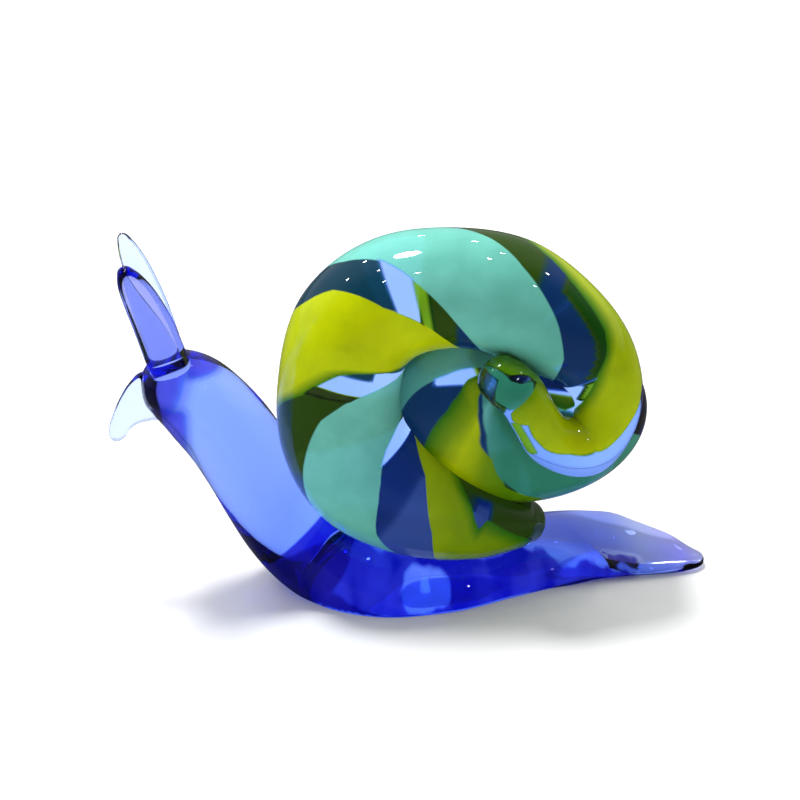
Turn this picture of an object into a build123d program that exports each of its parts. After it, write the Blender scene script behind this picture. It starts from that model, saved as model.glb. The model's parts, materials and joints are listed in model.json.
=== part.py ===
from build123d import *

import math
import os

# Snail figurine in lampworked soda-lime glass, solid throughout.
# Millimetres. +X runs to the tail, -Y to the side that shows the coil's tip, +Z up.
# The origin ends up under the middle of the whole figurine, on the surface that it stands on.

# Foot and tail
tail_reach = 37.3
foot_half_width = 10.5
foot_height = 6.2

# Neck and head
head_reach = 32.0
head_height = 28.0
neck_half_thickness = 5.6

# Feelers, two flattened rods that spread from the top of the head
feeler_root_x = -28.3
feeler_root_z = 30.2
feeler_rise = 15.6
feeler_lean = 5.2
feeler_spread = 3.3
feeler_root_spacing = 3.4
near_feeler_half_width = 2.4
near_feeler_half_thickness = 1.6
far_feeler_half_width = 1.9
far_feeler_half_thickness = 0.9

# Mouth flap, pinched flat under the feelers
mouth_root_x = -29.7
mouth_root_z = 29.6
mouth_thickness = 1.5
mouth_drop = 8.9
mouth_reach = 6.4
mouth_edge_round = 0.55

# Shell: a domed hub that leans back, and one cane wound over the near side of it.
# Both carry stripes of coloured glass that are fused flush into their surfaces.
hub_x = 12.2
hub_y = -0.4
hub_z = 22.9
hub_half_width = 17.0
hub_half_height = 11.5
hub_half_depth = 9.0
hub_lean = 27
hub_turn = 6
hub_pole_shift = 1.1
hub_pole_rise = 2.5
cane_radius = 7.4
coil_half_width = 14.0
coil_half_height = 15.0
coil_depth = 8.0
stripe_depth = 0.8
seat_clearance = 0.03

# Rows of the foot, from the tail's end forwards: place along the tail's reach, sideways in
# half widths, height, half width and half height in foot heights, then the tilt in degrees.
FOOT_SHARES = [
    (0.99, -0.16, 0.14, 0.10, 0.09, 8),
    (0.96, -0.14, 0.15, 0.20, 0.11, 8),
    (0.90, -0.05, 0.19, 0.34, 0.14, 11),
    (0.80, 0.04, 0.26, 0.47, 0.15, 12),
    (0.72, 0.11, 0.31, 0.56, 0.20, 12),
    (0.62, 0.13, 0.31, 0.61, 0.32, 10),
    (0.54, 0.14, 0.26, 0.66, 0.45, 7),
    (0.46, 0.14, 0.18, 0.69, 0.61, 4),
    (0.32, 0.09, 0.11, 0.80, 0.79, 0),
    (0.16, 0.02, 0.10, 0.94, 0.82, 0),
    (0.00, 0.00, 0.10, 1.00, 0.92, 0),
    (-0.11, 0.00, 0.15, 0.98, 1.20, 0),
]

# Rows of the neck and head, going up: place along the head's reach, height in head heights,
# heading in degrees from +X, half width and half thickness in neck half thicknesses.
NECK_SHARES = [
    (0.25, 0.09, 170, 1.66, 1.29),
    (0.34, 0.17, 160, 1.45, 1.22),
    (0.41, 0.24, 148, 1.27, 1.16),
    (0.48, 0.34, 137, 1.14, 1.09),
    (0.54, 0.46, 129, 1.06, 1.04),
    (0.61, 0.62, 124, 1.02, 1.01),
    (0.68, 0.76, 124, 1.00, 0.99),
    (0.76, 0.88, 131, 0.98, 0.96),
    (0.82, 0.95, 142, 0.93, 0.91),
    (0.88, 0.99, 155, 0.84, 0.82),
    (0.93, 1.00, 168, 0.71, 0.70),
    (0.975, 0.995, 175, 0.48, 0.47),
]

# Rows of a feeler, going up: place along its length, bow towards the tail in half widths,
# half width and half thickness.
FEELER_SHARES = [
    (0.00, 0.00, 1.04, 1.10),
    (0.20, 0.10, 1.03, 1.05),
    (0.45, 0.18, 0.99, 1.00),
    (0.70, 0.14, 0.86, 0.94),
    (0.86, 0.06, 0.66, 0.82),
    (0.96, 0.01, 0.38, 0.52),
]

# Outline of the mouth flap, from its top against the head: forwards and downwards.
MOUTH_SHARES = [
    (0.33, 0.00),
    (0.56, 0.15),
    (0.77, 0.38),
    (0.91, 0.62),
    (1.00, 0.84),
    (0.98, 0.94),
    (0.86, 1.00),
    (0.70, 0.94),
    (0.59, 0.82),
    (0.42, 0.74),
    (0.20, 0.71),
    (-0.10, 0.66),
    (-0.10, 0.06),
]

# Rows of the cane's centre line from its thin tip to its blunt end: places from the hub's
# middle in the coil's half widths, depths and half heights, then the radius in cane radii.
CANE_SHARES = [
    (-0.19, -1.21, 0.55, 0.32),
    (-0.08, -1.28, 0.53, 0.35),
    (0.05, -1.33, 0.43, 0.35),
    (0.12, -1.29, 0.19, 0.38),
    (0.28, -1.18, 0.00, 0.44),
    (0.58, -1.03, -0.09, 0.52),
    (0.78, -0.80, 0.17, 0.57),
    (0.71, -0.61, 0.51, 0.68),
    (0.42, -0.54, 0.81, 0.85),
    (-0.01, -0.39, 1.07, 0.96),
    (-0.49, -0.27, 1.15, 0.97),
    (-0.98, -0.18, 1.07, 1.00),
    (-1.34, -0.17, 0.79, 1.01),
    (-1.47, -0.21, 0.32, 1.00),
    (-1.43, -0.28, -0.09, 1.06),
    (-1.20, -0.37, -0.43, 1.10),
    (-0.75, -0.48, -0.70, 0.95),
    (-0.28, -0.51, -0.87, 0.69),
    (0.05, -0.35, -0.96, 0.48),
    (0.17, -0.22, -1.01, 0.37),
]
CANE_RINGS = 54
HEADING_ROWS = 0.9
END_ROUNDING_SHARE = 0.7
END_ANGLES = [30, 55, 78]

# Where each edge of a cane stripe stands round the cane, in degrees outwards from the near
# side, against the row number of the centre line.
TURQUOISE_START = [
    (0, -390), (1, -370), (2.4, -310), (5, -285), (7, -200), (9.4, -44), (10.5, 30), (11.3, 88),
    (13.9, 304), (15.1, 362), (16.1, 430), (19, 520),
]
TURQUOISE_STOP = [
    (0, -290), (1, -280), (2.4, -240), (5, -215), (6.5, -150), (7.9, -16), (9.1, 50), (9.9, 96),
    (12.4, 308), (13.2, 380), (14.7, 426), (16.1, 490), (19, 575),
]
CHARTREUSE_START = [
    (0, -160), (2.4, -106), (4, -135), (5.1, -108), (6.5, -32), (7.4, 30), (8.9, 85), (12.1, 312),
    (12.9, 404), (14.4, 530), (16.7, 680), (19, 760),
]
CHARTREUSE_STOP = [
    (0, -60), (1, -40), (2.4, 14), (4, -16), (5.3, 12), (6.5, 75), (8, 170), (10.1, 320),
    (11.1, 378), (12, 444), (14.4, 638), (15.6, 674), (16.5, 780), (19, 850),
]
CANE_FACETS = (6, 4)
FIRST_ROW_ON_BODY = 12

# Stripes of the hub: their edges in degrees anticlockwise round the near pole, given at the
# first angle from the pole, and how far they swirl on from there for each degree.
HUB_STRIPES = [(101, 187), (224, 254), (267, 345), (388, 434)]
HUB_STRIPE_ANGLE = 30
HUB_SWIRL = 0.7
HUB_ANGLES = [8, 18, 30, 44, 58, 74, 90, 106, 122, 136, 150, 162, 172]
HUB_FACETS = (4, 2)
HUB_POLE_THINNING_SHARE = 0.75


def along(rows, place):
    """A smooth curve through the rows, as Catmull and Rom draw it, read at a row number."""
    first = min(int(place), len(rows) - 2)
    part = place - first
    start, end = rows[first], rows[first + 1]
    before = rows[first - 1] if first else [2 * a - b for a, b in zip(start, end)]
    after = rows[first + 2] if first + 2 < len(rows) else [2 * b - a for a, b in zip(start, end)]
    values = []
    for a, b, c, d in zip(before, start, end, after):
        slope = (c - a) * part
        bend = (2 * a - 5 * b + 4 * c - d) * part**2
        twist = (3 * b - a - 3 * c + d) * part**3
        values.append(b + (slope + bend + twist) / 2)
    return values


def read(table, place):
    """The straight-line reading of a table of pairs."""
    for (low, a), (high, b) in zip(table, table[1:]):
        if place <= high:
            break
    return a + (b - a) * (place - low) / (high - low)


def skin(rings):
    """The solid between closed rings of points, from flat facets that bulge outwards."""
    corners = []
    for low, high in zip(rings, rings[1:]):
        for here, there, beyond, back in zip(low, low[1:] + low[:1], high[1:] + high[:1], high):
            if (beyond - here).length < (there - back).length:
                corners += [(here, there, beyond), (here, beyond, back)]
            else:
                corners += [(here, there, back), (there, beyond, back)]
    corners += [rings[0], rings[-1]]
    return Solid(Shell([Face(Wire.make_polygon(points)) for points in corners]))


def arc(point, start, stop, facets, depth):
    """Points from one angle to another, at a depth under the surface."""
    return [point(start + (stop - start) * step / facets, depth) for step in range(facets + 1)]


def glass_ring(point, stripes, facets, depth):
    """A ring of the clear glass, let in to the depth of each stripe."""
    ring = []
    for (start, stop), (following, _) in zip(stripes, stripes[1:] + [(stripes[0][0] + 360, 0)]):
        ring += arc(point, start, stop, facets[0], depth)
        ring += arc(point, stop, following, facets[1], 0)
    return ring


def ribbon_ring(point, stripe, facets, depth):
    """A ring of one stripe, flush with the glass on either side of it."""
    start, stop = stripe
    return arc(point, start, stop, facets[0], 0) + arc(point, stop, start, facets[0], depth)


def seat_ring(point, stripes, facets):
    """A ring round glass and stripes together, just clear of both."""
    ring = []
    for (start, stop), (following, _) in zip(stripes, stripes[1:] + [(stripes[0][0] + 360, 0)]):
        ring += arc(point, start, stop, facets[0], -seat_clearance)[:-1]
        ring += arc(point, stop, following, facets[1], -seat_clearance)[:-1]
    return ring


# Body: one gather drawn out into the tail, the foot, the neck and the head
def foot_section(x, y, z, width, height, tilt):
    turn = math.radians(tilt)
    plane = Plane(
        origin=(x * tail_reach, y * foot_half_width, z * foot_height),
        x_dir=(0, math.cos(turn), math.sin(turn)),
        z_dir=(-1, 0, 0),
    )
    return (plane * Ellipse(width * foot_half_width, height * foot_height)).wire()


def neck_section(x, z, heading, width, thickness):
    turn = math.radians(heading)
    plane = Plane(
        origin=(-x * head_reach, 0, z * head_height),
        x_dir=(0, 1, 0),
        z_dir=(math.cos(turn), 0, math.sin(turn)),
    )
    return (plane * Ellipse(width * neck_half_thickness, thickness * neck_half_thickness)).wire()


def build_body():
    tail_end = Vertex(tail_reach, FOOT_SHARES[0][1] * foot_half_width, FOOT_SHARES[0][2] * foot_height)
    nose = Vertex(-head_reach, 0, head_height)
    sections = [foot_section(*row) for row in FOOT_SHARES] + [neck_section(*row) for row in NECK_SHARES]
    gather = Solid.make_loft([nose] + sections[::-1] + [tail_end])
    span = 2 * (tail_reach + head_reach)
    return gather - Pos(0, 0, -span / 2) * Box(span, span, span)


# Feelers: flattened rods that bow towards the tail and end in rounded tips
def build_feeler(side, half_width, half_thickness):
    root = Vector(feeler_root_x, side * feeler_root_spacing / 2, feeler_root_z)
    reach = Vector(-feeler_lean, side * feeler_spread, feeler_rise)
    across = Vector(0, 1, 0).cross(reach).normalized()
    sections = []
    for place, bow, width, thickness in FEELER_SHARES:
        plane = Plane(origin=root + reach * place + across * (bow * half_width), x_dir=across, z_dir=reach)
        sections.append((plane * Ellipse(width * half_width, thickness * half_thickness)).wire())
    tip = root + reach
    return Solid.make_loft(sections + [Vertex(*tip)])


# Mouth flap: glass pinched flat, with softened edges
def build_mouth():
    points = [
        (mouth_root_x - forwards * mouth_reach, 0, mouth_root_z - down * mouth_drop)
        for forwards, down in MOUTH_SHARES
    ]
    edge = Spline(*points[:-2])
    closing = Polyline(points[-3], points[-2], points[-1], points[0])
    outline = make_face([edge, closing])
    flap = extrude(outline, amount=mouth_thickness / 2, dir=(0, 1, 0), both=True)
    return fillet(flap.edges() - flap.edges().filter_by(Axis.Y), mouth_edge_round)


# Cane: rings stand across a smoothed heading, so that none of them cross in a tight bend
def cane_middle(place):
    x, y, z, width = along(CANE_SHARES, place)
    middle = Vector(hub_x + x * coil_half_width, hub_y + y * coil_depth, hub_z + z * coil_half_height)
    return middle, width * cane_radius


def cane_point(place, rounding=0):
    """What places a point of the cane, and how much of its full size the ring there has."""
    last = len(CANE_SHARES) - 1
    middle, radius = cane_middle(place)
    behind, _ = cane_middle(max(place - HEADING_ROWS, 0))
    ahead, _ = cane_middle(min(place + HEADING_ROWS, last))
    forwards = (ahead - behind).normalized()
    near = Vector(0, -1, 0)
    near = (near - forwards * near.dot(forwards)).normalized()
    outer = forwards.cross(near)
    share = math.cos(math.radians(rounding))
    middle += forwards * (math.sin(math.radians(rounding)) * radius * END_ROUNDING_SHARE)

    def point(angle, depth):
        turn = math.radians(angle)
        return middle + (near * math.cos(turn) + outer * math.sin(turn)) * (radius - depth) * share

    return point


def cane_stripes(place):
    turquoise = (read(TURQUOISE_START, place), read(TURQUOISE_STOP, place))
    chartreuse = (read(CHARTREUSE_START, place), read(CHARTREUSE_STOP, place))
    return [turquoise, chartreuse]


def build_cane():
    last = len(CANE_SHARES) - 1
    stations = [(0, -angle) for angle in END_ANGLES[::-1]]
    stations += [(last * ring / CANE_RINGS, 0) for ring in range(CANE_RINGS + 1)]
    stations += [(last, angle) for angle in END_ANGLES]
    glass, turquoise, chartreuse, hub_seat, body_seat = [], [], [], [], []
    for place, rounding in stations:
        point = cane_point(place, rounding)
        stripes = cane_stripes(place)
        glass.append(glass_ring(point, stripes, CANE_FACETS, stripe_depth))
        turquoise.append(ribbon_ring(point, stripes[0], CANE_FACETS, stripe_depth))
        chartreuse.append(ribbon_ring(point, stripes[1], CANE_FACETS, stripe_depth))
        hub_seat.append(seat_ring(point, stripes, CANE_FACETS))
        if place > FIRST_ROW_ON_BODY:
            body_seat.append(hub_seat[-1])
    return [skin(rings) for rings in (glass, turquoise, chartreuse, hub_seat, body_seat)]


# Hub: rings round an axis that leans back, with its near pole moved up and towards the head
def hub_point(angle):
    lean, turn = math.radians(hub_lean), math.radians(hub_turn)
    axis = Vector(-math.sin(turn) * math.cos(lean), -math.cos(turn) * math.cos(lean), math.sin(lean))
    across = Vector(math.cos(turn), -math.sin(turn), 0)
    upwards = axis.cross(across)
    out, size = math.cos(math.radians(angle)), math.sin(math.radians(angle))
    middle = Vector(hub_x, hub_y, hub_z) + axis * (out * hub_half_depth)
    middle += upwards * (out * hub_pole_rise) - across * (out * hub_pole_shift)

    def point(place, depth):
        here = math.radians(place)
        width, height = hub_half_width * size - depth, hub_half_height * size - depth
        return middle + across * (math.cos(here) * width) + upwards * (math.sin(here) * height)

    return point


def build_hub():
    glass = []
    ribbons = [[] for _ in HUB_STRIPES]
    for angle in HUB_ANGLES:
        point = hub_point(angle)
        swirl = HUB_SWIRL * (angle - HUB_STRIPE_ANGLE)
        stripes = [(start + swirl, stop + swirl) for start, stop in HUB_STRIPES]
        depth = stripe_depth * (1 - HUB_POLE_THINNING_SHARE * (1 - math.sin(math.radians(angle))))
        glass.append(glass_ring(point, stripes, HUB_FACETS, depth))
        for rings, stripe in zip(ribbons, stripes):
            rings.append(ribbon_ring(point, stripe, HUB_FACETS, depth))
    return [skin(glass)] + [skin(rings) for rings in ribbons]


cane, turquoise_stripe, chartreuse_stripe, hub_seat, body_seat = build_cane()
hub, hub_turquoise_left, hub_chartreuse_left, hub_turquoise_right, hub_chartreuse_right = build_hub()
body = build_body()
left_feeler = build_feeler(-1, near_feeler_half_width, near_feeler_half_thickness) - body
right_feeler = build_feeler(1, far_feeler_half_width, far_feeler_half_thickness) - body - left_feeler
mouth_flap = build_mouth() - body - left_feeler - right_feeler



def left_by_cane(stripe):
    """A hub stripe without what the cane covers, and without the crumbs in its corners."""
    return (stripe - hub_seat).solids().sort_by(SortBy.VOLUME)[-1]


parts = {
    "body": body - body_seat,
    "left_feeler": left_feeler,
    "right_feeler": right_feeler,
    "mouth_flap": mouth_flap,
    "shell_cane": cane,
    "shell_cane_turquoise_stripe": turquoise_stripe,
    "shell_cane_chartreuse_stripe": chartreuse_stripe,
    "shell_hub": hub - hub_seat,
    "shell_hub_turquoise_stripe_left": left_by_cane(hub_turquoise_left),
    "shell_hub_turquoise_stripe_right": left_by_cane(hub_turquoise_right),
    "shell_hub_chartreuse_stripe_left": left_by_cane(hub_chartreuse_left),
    "shell_hub_chartreuse_stripe_right": left_by_cane(hub_chartreuse_right),
}

# The origin goes under the middle of the whole figurine, which stands on zero height already
front = mouth_flap.bounding_box().min.X
near = min(cane.bounding_box().min.Y, chartreuse_stripe.bounding_box().min.Y)
far = body.bounding_box().max.Y
centring = Pos(-(front + tail_reach) / 2, -(near + far) / 2, 0)

os.makedirs("parts", exist_ok=True)
for name, shape in parts.items():
    export_step(centring * shape, f"parts/{name}.step")
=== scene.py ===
"""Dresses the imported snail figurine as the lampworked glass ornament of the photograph."""

import json
import logging
import math
from dataclasses import dataclass
from enum import Enum
from typing import Sequence

import bmesh
import bpy
from mathutils import Matrix, Vector

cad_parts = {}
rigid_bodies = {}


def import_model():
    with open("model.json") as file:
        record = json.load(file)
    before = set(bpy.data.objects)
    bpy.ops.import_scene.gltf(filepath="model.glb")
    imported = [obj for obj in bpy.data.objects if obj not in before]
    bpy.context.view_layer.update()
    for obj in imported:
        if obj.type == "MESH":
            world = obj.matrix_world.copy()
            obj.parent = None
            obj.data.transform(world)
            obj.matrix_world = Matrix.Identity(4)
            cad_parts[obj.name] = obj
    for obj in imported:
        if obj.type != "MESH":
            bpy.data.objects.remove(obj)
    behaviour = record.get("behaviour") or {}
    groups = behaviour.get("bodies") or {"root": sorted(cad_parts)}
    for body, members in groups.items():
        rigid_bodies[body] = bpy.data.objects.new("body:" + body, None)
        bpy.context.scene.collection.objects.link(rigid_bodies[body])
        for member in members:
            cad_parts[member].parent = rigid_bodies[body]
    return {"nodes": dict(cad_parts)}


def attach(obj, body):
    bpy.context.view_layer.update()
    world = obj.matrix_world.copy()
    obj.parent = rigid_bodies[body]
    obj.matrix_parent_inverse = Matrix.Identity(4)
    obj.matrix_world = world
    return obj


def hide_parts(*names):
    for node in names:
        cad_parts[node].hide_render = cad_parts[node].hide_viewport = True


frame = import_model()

LOG = logging.getLogger("snail")
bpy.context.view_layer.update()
MM = 0.001
# Two gathers that are fused meet in a crease where their surfaces turn by more than this
CREASE = math.radians(38)
# The air between the shell and the foot that it is set in, in millimetres
SEAT_GAP = 0.05

# The glass is laid out from the middle of the foot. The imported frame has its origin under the
# middle of the whole figurine, so every place is moved by this much.
FRAME_SHIFT = Vector((-0.60, 1.57, 0.0)) * MM

Row = tuple[float, ...]
Table = Sequence[tuple[float, float]]


def catmull(rows: Sequence[Row], place: float) -> list[float]:
    """Reads a smooth curve through rows of numbers.

    Args:
        rows: The rows that the curve goes through.
        place: Where to read it, as a row number with a fraction.

    Returns:
        One value for each column.
    """
    place = min(max(place, 0.0), len(rows) - 1.0)
    first = min(int(place), len(rows) - 2)
    part = place - first
    start, end = rows[first], rows[first + 1]
    before = rows[first - 1] if first else [2 * a - b for a, b in zip(start, end)]
    after = rows[first + 2] if first + 2 < len(rows) else [2 * b - a for a, b in zip(start, end)]
    values = []
    for a, b, c, d in zip(before, start, end, after):
        slope = (c - a) * part
        bend = (2 * a - 5 * b + 4 * c - d) * part**2
        twist = (3 * b - a - 3 * c + d) * part**3
        values.append(b + (slope + bend + twist) / 2)
    return values


def linear(table: Table, place: float) -> float:
    """Reads a table of pairs along straight lines.

    Args:
        table: Pairs of place and value, in order.
        place: Where to read it.

    Returns:
        The value there.
    """
    for (low, a), (high, b) in zip(table, table[1:]):
        if place <= high:
            break
    return a + (b - a) * (place - low) / (high - low)


def colour(code: str) -> tuple[float, float, float, float]:
    """Turns an sRGB code into the linear colour that the shaders work in.

    Args:
        code: Six hexadecimal digits.

    Returns:
        Red, green, blue and alpha.
    """
    values = []
    for start in (0, 2, 4):
        share = int(code[start : start + 2], 16) / 255
        values.append(share / 12.92 if share <= 0.04045 else ((share + 0.055) / 1.055) ** 2.4)
    return (values[0], values[1], values[2], 1.0)


def ring(across: Vector, up: Vector, normal: Vector, middle: Vector) -> Matrix:
    """Makes the matrix that takes the unit circle to a ring.

    Args:
        across: The ring's first half axis.
        up: The ring's second half axis.
        normal: The ring's normal.
        middle: The ring's middle.

    Returns:
        The matrix, in metres.
    """
    matrix = Matrix((across * MM, up * MM, normal * MM)).transposed().to_4x4()
    matrix.translation = middle * MM + FRAME_SHIFT
    return matrix


def skin(name: str, rings: Sequence[Matrix], segments: int) -> bpy.types.Object:
    """Skins a closed solid over rings.

    Args:
        name: The object's name.
        rings: The matrices of the rings, from one end to the other.
        segments: How many edges each ring has.

    Returns:
        The new object. Its vertices come ring by ring.
    """
    mesh = bmesh.new()
    loops = []
    for number, matrix in enumerate(rings):
        at_end = number in (0, len(rings) - 1)
        made = bmesh.ops.create_circle(
            mesh, cap_ends=at_end, segments=segments, radius=1.0, matrix=matrix
        )
        loops.append(list({edge for vertex in made["verts"] for edge in vertex.link_edges}))
    for low, high in zip(loops, loops[1:]):
        bmesh.ops.bridge_loops(mesh, edges=low + high)
    bmesh.ops.recalc_face_normals(mesh, faces=mesh.faces)
    return settle(name, mesh)


def ease(low: float, high: float, value: float) -> float:
    """Rises smoothly from nought to one.

    Args:
        low: Where it starts, which may be the larger of the two.
        high: Where it ends.
        value: Where to read it.

    Returns:
        The height there.
    """
    share = min(max((value - low) / (high - low), 0.0), 1.0)
    return share * share * (3 - 2 * share)


def settle(name: str, mesh: bmesh.types.BMesh) -> bpy.types.Object:
    """Turns a working mesh into an object of the scene, with smooth shading.

    Args:
        name: The object's name.
        mesh: The working mesh, which is freed.

    Returns:
        The new object.
    """
    data = bpy.data.meshes.new(name)
    mesh.to_mesh(data)
    mesh.free()
    data.shade_smooth()
    made = bpy.data.objects.new(name, data)
    bpy.context.scene.collection.objects.link(made)
    return made


def write_map(piece: bpy.types.Object, name: str, values: Sequence[tuple[float, float]]) -> None:
    """Writes two numbers for each vertex into a map that survives a join.

    Args:
        piece: The piece that gets the map.
        name: The map.
        values: The numbers, in the order of the vertices.
    """
    layer = piece.data.uv_layers.new(name=name)
    for corner, target in zip(piece.data.loops, layer.data):
        target.uv = values[corner.vertex_index]


def carve(piece: bpy.types.Object, tool: bpy.types.Object, operation: str) -> None:
    """Joins a tool to a piece or cuts it away, and removes the tool.

    Args:
        piece: The piece that is changed.
        tool: The other solid.
        operation: UNION or DIFFERENCE.
    """
    cut = piece.modifiers.new("carve", "BOOLEAN")
    cut.operation = operation
    cut.solver = "EXACT"
    cut.object = tool
    bpy.context.view_layer.update()
    shown = piece.evaluated_get(bpy.context.evaluated_depsgraph_get())
    piece.data = bpy.data.meshes.new_from_object(shown)
    piece.modifiers.clear()
    bpy.data.objects.remove(tool)


def node(
    tree: bpy.types.NodeTree,
    kind: str,
    settings: dict[str | int, object] | None = None,
    links: dict[str | int, bpy.types.NodeSocket] | None = None,
) -> bpy.types.Node:
    """Adds a node to a material.

    Args:
        tree: The material's tree.
        kind: The node's type.
        settings: Properties of the node, or values of its sockets by name or number.
        links: What feeds its sockets, by the socket's name or number.

    Returns:
        The new node.
    """
    made = tree.nodes.new(kind)
    for name, value in (settings or {}).items():
        if isinstance(name, str) and hasattr(made, name):
            setattr(made, name, value)
        else:
            made.inputs[name].default_value = value
    for name, source in (links or {}).items():
        tree.links.new(source, made.inputs[name])
    return made


def spread(ramp: bpy.types.ColorRamp, stops: Sequence[tuple[float, str]]) -> None:
    """Sets the colours of a ramp.

    Args:
        ramp: The ramp.
        stops: Pairs of place and sRGB code, in order.
    """
    while len(ramp.elements) < len(stops):
        ramp.elements.new(0.5)
    for element, (place, code) in zip(ramp.elements, stops):
        element.position = place
        element.color = colour(code)


@dataclass(frozen=True)
class Glass:
    """A soda-lime glass as the torch leaves it.

    Attributes:
        name: What the glass is called.
        cast: The colour that it lets through, as an sRGB code.
        density: How strongly it takes the rest away, for each metre.
        ripple: The height of the waves that the flame leaves, in millimetres.
        wave: The length of those waves, in millimetres.
    """

    name: str
    cast: str
    density: float
    ripple: float = 0.04
    wave: float = 5.26

    # Soda-lime glass, fire polished in the torch: it has no roughness at all, and it bends light
    # as window glass does. Gravity and the tools leave waves a few millimetres long, which break
    # up what it mirrors.
    ROUGHNESS = 0.0
    BENDING = 1.5

    def build(self) -> bpy.types.Material:
        """Makes the material, clear at the surface and coloured in its depth.

        Returns:
            The material.
        """
        material = bpy.data.materials.new(self.name)
        material.use_nodes = True
        tree = material.node_tree
        shader = tree.nodes["Principled BSDF"]
        shader.inputs["Base Color"].default_value = (1.0, 1.0, 1.0, 1.0)
        shader.inputs["Roughness"].default_value = self.ROUGHNESS
        shader.inputs["IOR"].default_value = self.BENDING
        shader.inputs["Transmission Weight"].default_value = 1.0
        place = node(tree, "ShaderNodeTexCoord")
        waves = node(
            tree,
            "ShaderNodeTexNoise",
            {"Scale": 1 / (self.wave * MM), "Detail": 1.0},
            {"Vector": place.outputs["Object"]},
        )
        bump = node(
            tree,
            "ShaderNodeBump",
            {"Strength": 1.0, "Distance": self.ripple * MM},
            {"Height": waves.outputs["Fac"]},
        )
        tree.links.new(bump.outputs["Normal"], shader.inputs["Normal"])
        depth = node(
            tree,
            "ShaderNodeVolumeAbsorption",
            {"Color": colour(self.cast), "Density": self.density},
        )
        tree.links.new(depth.outputs["Volume"], tree.nodes["Material Output"].inputs["Volume"])
        return material


@dataclass(frozen=True)
class ShadeTintedGlass(Glass):
    """Periwinkle glass whose tint a map deepens, as painted shade over the foot.

    Attributes:
        casts: The tint that the glass lets through, from none to the deepest, as pairs of place
            and sRGB code; its deep end is painted shade.
        vein: The size of the clouds in the foot's painted shade, in millimetres.
        drawn_share: How they are drawn out along X, Y and Z, the smaller the longer.
        thinnest_share: How deep the foot's painted shade is where a cloud is thin.
        edge: How far the edge of that painted shade fades, in millimetres.
        sway: How far its edge wanders over a whole cloud, in millimetres.
        milky_share: How much of the light the glass scatters where its tint is deepest.
    """

    casts: tuple[tuple[float, str], ...] = (
        (0.0, "FFFFFF"),
        (0.12, "E6F0FD"),
        (0.27, "C7CDE2"),
        (0.38, "AEAAE7"),
        (0.48, "9DA6CA"),
        (0.6, "4D65C5"),
        (0.75, "4A3CC0"),
        (1.0, "0806A8"),
    )
    vein: float = 3.85
    drawn_share: tuple[float, float, float] = (1.0, 0.6, 0.3)
    thinnest_share: float = 0.8
    edge: float = 0.3
    sway: float = 4.5
    milky_share: float = 0.35

    # Pale blue glass whose tint a map deepens. Painted shade fills the foot, for the dark that its
    # contact shadow over the floor leaves in it, in uneven clouds under a wavy edge, so the foot
    # looks like dark ink in water under the paler neck and tail.
    CLOUD_RANGE = (0.38, 0.58)
    MILKY_FROM = 0.6

    def build(self) -> bpy.types.Material:
        """Makes the material from the body's map of its tint and painted shade.

        Returns:
            The material.
        """
        material = super().build()
        tree = material.node_tree
        layer = node(tree, "ShaderNodeUVMap", {"uv_map": "cobalt"})
        split = node(tree, "ShaderNodeSeparateXYZ", links={"Vector": layer.outputs["UV"]})
        place = node(tree, "ShaderNodeTexCoord")
        upright = node(
            tree,
            "ShaderNodeMapping",
            {"Scale": self.drawn_share},
            {"Vector": place.outputs["Object"]},
        )
        veins = node(
            tree,
            "ShaderNodeTexNoise",
            {"Scale": 1 / (self.vein * MM), "Detail": 2.0},
            {"Vector": upright.outputs["Vector"]},
        )
        thin, thick = self.CLOUD_RANGE
        uneven = node(
            tree,
            "ShaderNodeMapRange",
            {"From Min": thin, "From Max": thick, "To Min": self.thinnest_share, "To Max": 1.0},
            {"Value": veins.outputs["Fac"]},
        )
        wavy = node(
            tree,
            "ShaderNodeMath",
            {"operation": "MULTIPLY_ADD", 1: self.sway},
            {0: veins.outputs["Fac"], 2: split.outputs["Y"]},
        )
        # Painted shade of the foot below its wavy edge, in uneven clouds
        belly = node(
            tree,
            "ShaderNodeMapRange",
            {"From Min": self.sway / 2 - self.edge, "From Max": self.sway / 2 + self.edge},
            {"Value": wavy.outputs["Value"]},
        )
        cobalt = node(
            tree,
            "ShaderNodeMath",
            {"operation": "MULTIPLY"},
            {0: belly.outputs["Result"], 1: uneven.outputs["Result"]},
        )
        depth = node(
            tree,
            "ShaderNodeMath",
            {"operation": "MAXIMUM"},
            {0: split.outputs["X"], 1: cobalt.outputs["Value"]},
        )
        ramp = node(tree, "ShaderNodeValToRGB", links={"Fac": depth.outputs["Value"]})
        spread(ramp.color_ramp, self.casts)
        shader = tree.nodes["Principled BSDF"]
        tree.links.new(ramp.outputs["Color"], shader.inputs["Base Color"])
        passed = node(
            tree,
            "ShaderNodeMapRange",
            {"From Min": self.MILKY_FROM, "To Min": 1.0, "To Max": 1.0 - self.milky_share},
            {"Value": depth.outputs["Value"]},
        )
        tree.links.new(passed.outputs["Result"], shader.inputs["Transmission Weight"])
        return material


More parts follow.
